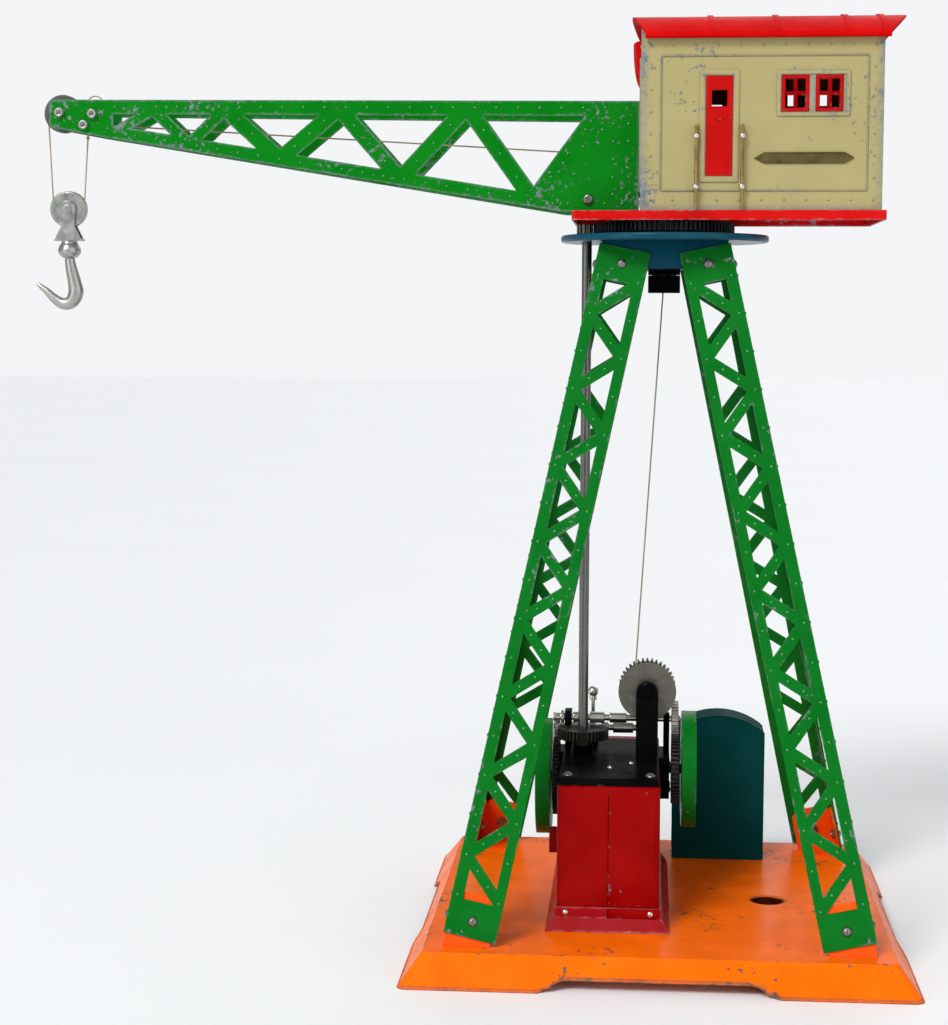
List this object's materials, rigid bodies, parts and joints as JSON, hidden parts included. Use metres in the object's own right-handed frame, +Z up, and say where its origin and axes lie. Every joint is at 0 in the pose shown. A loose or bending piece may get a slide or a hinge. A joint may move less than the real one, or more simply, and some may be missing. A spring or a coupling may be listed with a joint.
{
  "type": "toy tower crane",
  "caption": "Enamelled tin toy tower crane with lattice legs, a slewing cab and boom, a hoist with hook block, and hand wheels.",
  "frame": {"origin": "on the slewing axis, in the plane that the base stands on", "axes": "+Z up along the slewing axis, -X along the boom, -Y towards the side with the drum's plain flange"},
  "size_m": [0.4641, 0.254, 0.4803],
  "materials": {
    "green_enamel": "gloss enamel, chipped at the edges",
    "orange_enamel": "gloss enamel, chipped at the edges",
    "red_enamel": "gloss enamel",
    "cream_enamel": "gloss enamel, aged",
    "teal_enamel": "gloss enamel",
    "black_enamel": "stove enamel",
    "nickel": "nickel plate, dulled",
    "steel": "drawn steel",
    "brass": "aged",
    "dark_bronze": "darkened",
    "laminated_iron": "varnished laminations",
    "cord": "twisted cotton",
    "ceramic": "unglazed ceramic with wire",
    "copper": "wound copper and steel"
  },
  "bodies": {
    "tower": {"base_tray": "orange_enamel", "foot_brackets": "orange_enamel", "leg_front_left": "green_enamel", "leg_front_right": "green_enamel", "leg_rear_left": "green_enamel", "leg_rear_right": "green_enamel", "screws": "nickel", "leg_nuts": "nickel", "head_plate": "teal_enamel", "head_bracket": "teal_enamel", "head_bush": "black_enamel", "motor_housing": "red_enamel", "housing_skirt": "red_enamel", "gear_frame": "black_enamel", "field_magnet": "laminated_iron", "motor_end_plates": "steel", "terminal_block": "red_enamel", "control_box": "teal_enamel", "control_resistor": "ceramic", "cord_riser": "cord"},
    "superstructure": {"ring_gear": "black_enamel", "spindle": "steel", "spindle_collar": "nickel", "floor_plate": "red_enamel", "cab_walls": "cream_enamel", "cab_roof": "red_enamel", "end_hood": "red_enamel", "doors": "red_enamel", "window_frames": "red_enamel", "handrails": "brass", "rail_posts": "nickel", "side_plates": "brass", "boom_plate_front": "green_enamel", "boom_plate_rear": "green_enamel", "root_bracket": "teal_enamel", "root_screws": "nickel", "tip_pins": "nickel", "pulley_bracket": "steel", "cord_boom": "cord", "cord_fall_sheave": "cord", "cord_fall_anchor": "cord"},
    "cab_pulley": {"cab_pulley": "brass"},
    "guide_roller": {"guide_roller": "steel"},
    "tip_sheave": {"tip_sheave": "nickel"},
    "hook_block": {"block_yoke": "steel", "cord_bight": "cord"},
    "block_sheave": {"block_sheave": "nickel"},
    "hook": {"hook": "nickel"},
    "slewing_shaft": {"slew_shaft": "steel", "slew_wheel": "dark_bronze"},
    "slewing_drive": {"slew_drive_shaft": "steel"},
    "slewing_wheel": {"hand_wheel_left": "green_enamel", "wheel_gear_left": "dark_bronze"},
    "drum": {"hoist_drum": "dark_bronze", "drum_cord": "cord"},
    "hoist_drive": {"hoist_shaft": "steel"},
    "hoist_wheel": {"hand_wheel_right": "green_enamel", "wheel_gear_right": "dark_bronze"},
    "clutch": {"clutch_lever": "nickel"},
    "rotor": {"armature": "copper"}
  },
  "joints": [
    {"name": "hoist_wheel_spin", "type": "hinge", "parent": "tower", "child": "hoist_wheel", "pos_m": [0, 0, 0.08413], "axis": [1, 0, 0], "range_deg": [-2500, 37500]},
    {"name": "hoist_shaft_spin", "type": "hinge", "parent": "tower", "child": "hoist_drive", "pos_m": [0, 0.0095, 0.1094], "axis": [1, 0, 0], "range_deg": [-75001, 5001]},
    {"name": "drum_spin", "type": "hinge", "parent": "tower", "child": "drum", "pos_m": [-0.0065, 0, 0.127], "axis": [0, 1, 0], "range_deg": [-417.7, 6251]},
    {"name": "cab_pulley_spin", "type": "hinge", "parent": "superstructure", "child": "cab_pulley", "pos_m": [-0.006, 0, 0.4023], "axis": [0, 1, 0], "range_deg": [-5730.2, 382.9]},
    {"name": "guide_roller_spin", "type": "hinge", "parent": "superstructure", "child": "guide_roller", "pos_m": [-0.3021, 0, 0.4313], "axis": [0, 1, 0], "range_deg": [-468.7, 7016.3]},
    {"name": "tip_sheave_spin", "type": "hinge", "parent": "superstructure", "child": "tip_sheave", "pos_m": [-0.32, 0, 0.4321], "axis": [0, 1, 0], "range_deg": [-4045.1, 270.6]},
    {"name": "block_sheave_spin", "type": "hinge", "parent": "hook_block", "child": "block_sheave", "pos_m": [-0.3181, 0, 0.3818], "axis": [0, 1, 0], "range_deg": [-2071.8, 139.1]},
    {"name": "hook_lift", "type": "slide", "parent": "superstructure", "child": "hook_block", "axis": [0, 0, 1], "range_m": [-0.3, 0.02], "deforming": ["cord_fall_sheave", "cord_fall_anchor"]},
    {"name": "hook_swivel", "type": "hinge", "parent": "hook_block", "child": "hook", "pos_m": [-0.3181, 0, 0.3603], "axis": [0, 0, 1], "continuous": true},
    {"name": "slew", "type": "hinge", "parent": "tower", "child": "superstructure", "pos_m": [0, 0, 0.3675], "axis": [0, 0, 1], "continuous": true},
    {"name": "slewing_shaft_spin", "type": "hinge", "parent": "tower", "child": "slewing_shaft", "pos_m": [-0.04063, 0, 0.2], "axis": [0, 0, 1], "continuous": true},
    {"name": "slewing_drive_spin", "type": "hinge", "parent": "tower", "child": "slewing_drive", "pos_m": [0, 0.0172, 0.1026], "axis": [1, 0, 0], "continuous": true},
    {"name": "slewing_wheel_spin", "type": "hinge", "parent": "tower", "child": "slewing_wheel", "pos_m": [0, 0.0077, 0.07733], "axis": [1, 0, 0], "continuous": true},
    {"name": "clutch_throw", "type": "hinge", "parent": "tower", "child": "clutch", "pos_m": [-0.036, 0.027, 0.0975], "axis": [0, 1, 0], "range_deg": [-10, 10]},
    {"name": "rotor_spin", "type": "hinge", "parent": "tower", "child": "rotor", "pos_m": [-0.0255, 0, 0.05], "axis": [0, 1, 0], "continuous": true}
  ],
  "couplings": [
    {"joint": "hoist_shaft_spin", "follows": "hoist_wheel_spin", "ratio": -2},
    {"joint": "drum_spin", "follows": "hoist_wheel_spin", "ratio": 0.16667},
    {"joint": "cab_pulley_spin", "follows": "hoist_wheel_spin", "ratio": -0.15278},
    {"joint": "guide_roller_spin", "follows": "hoist_wheel_spin", "ratio": 0.18707},
    {"joint": "tip_sheave_spin", "follows": "hoist_wheel_spin", "ratio": -0.10784},
    {"joint": "block_sheave_spin", "follows": "hoist_wheel_spin", "ratio": -0.055221},
    {"joint": "hook_lift", "follows": "hoist_wheel_spin", "m_per_rad": -0.00045833},
    {"joint": "slewing_shaft_spin", "follows": "slew", "ratio": -7.3333},
    {"joint": "slewing_drive_spin", "follows": "slew", "ratio": 88},
    {"joint": "slewing_wheel_spin", "follows": "slew", "ratio": -29.333}
  ]
}
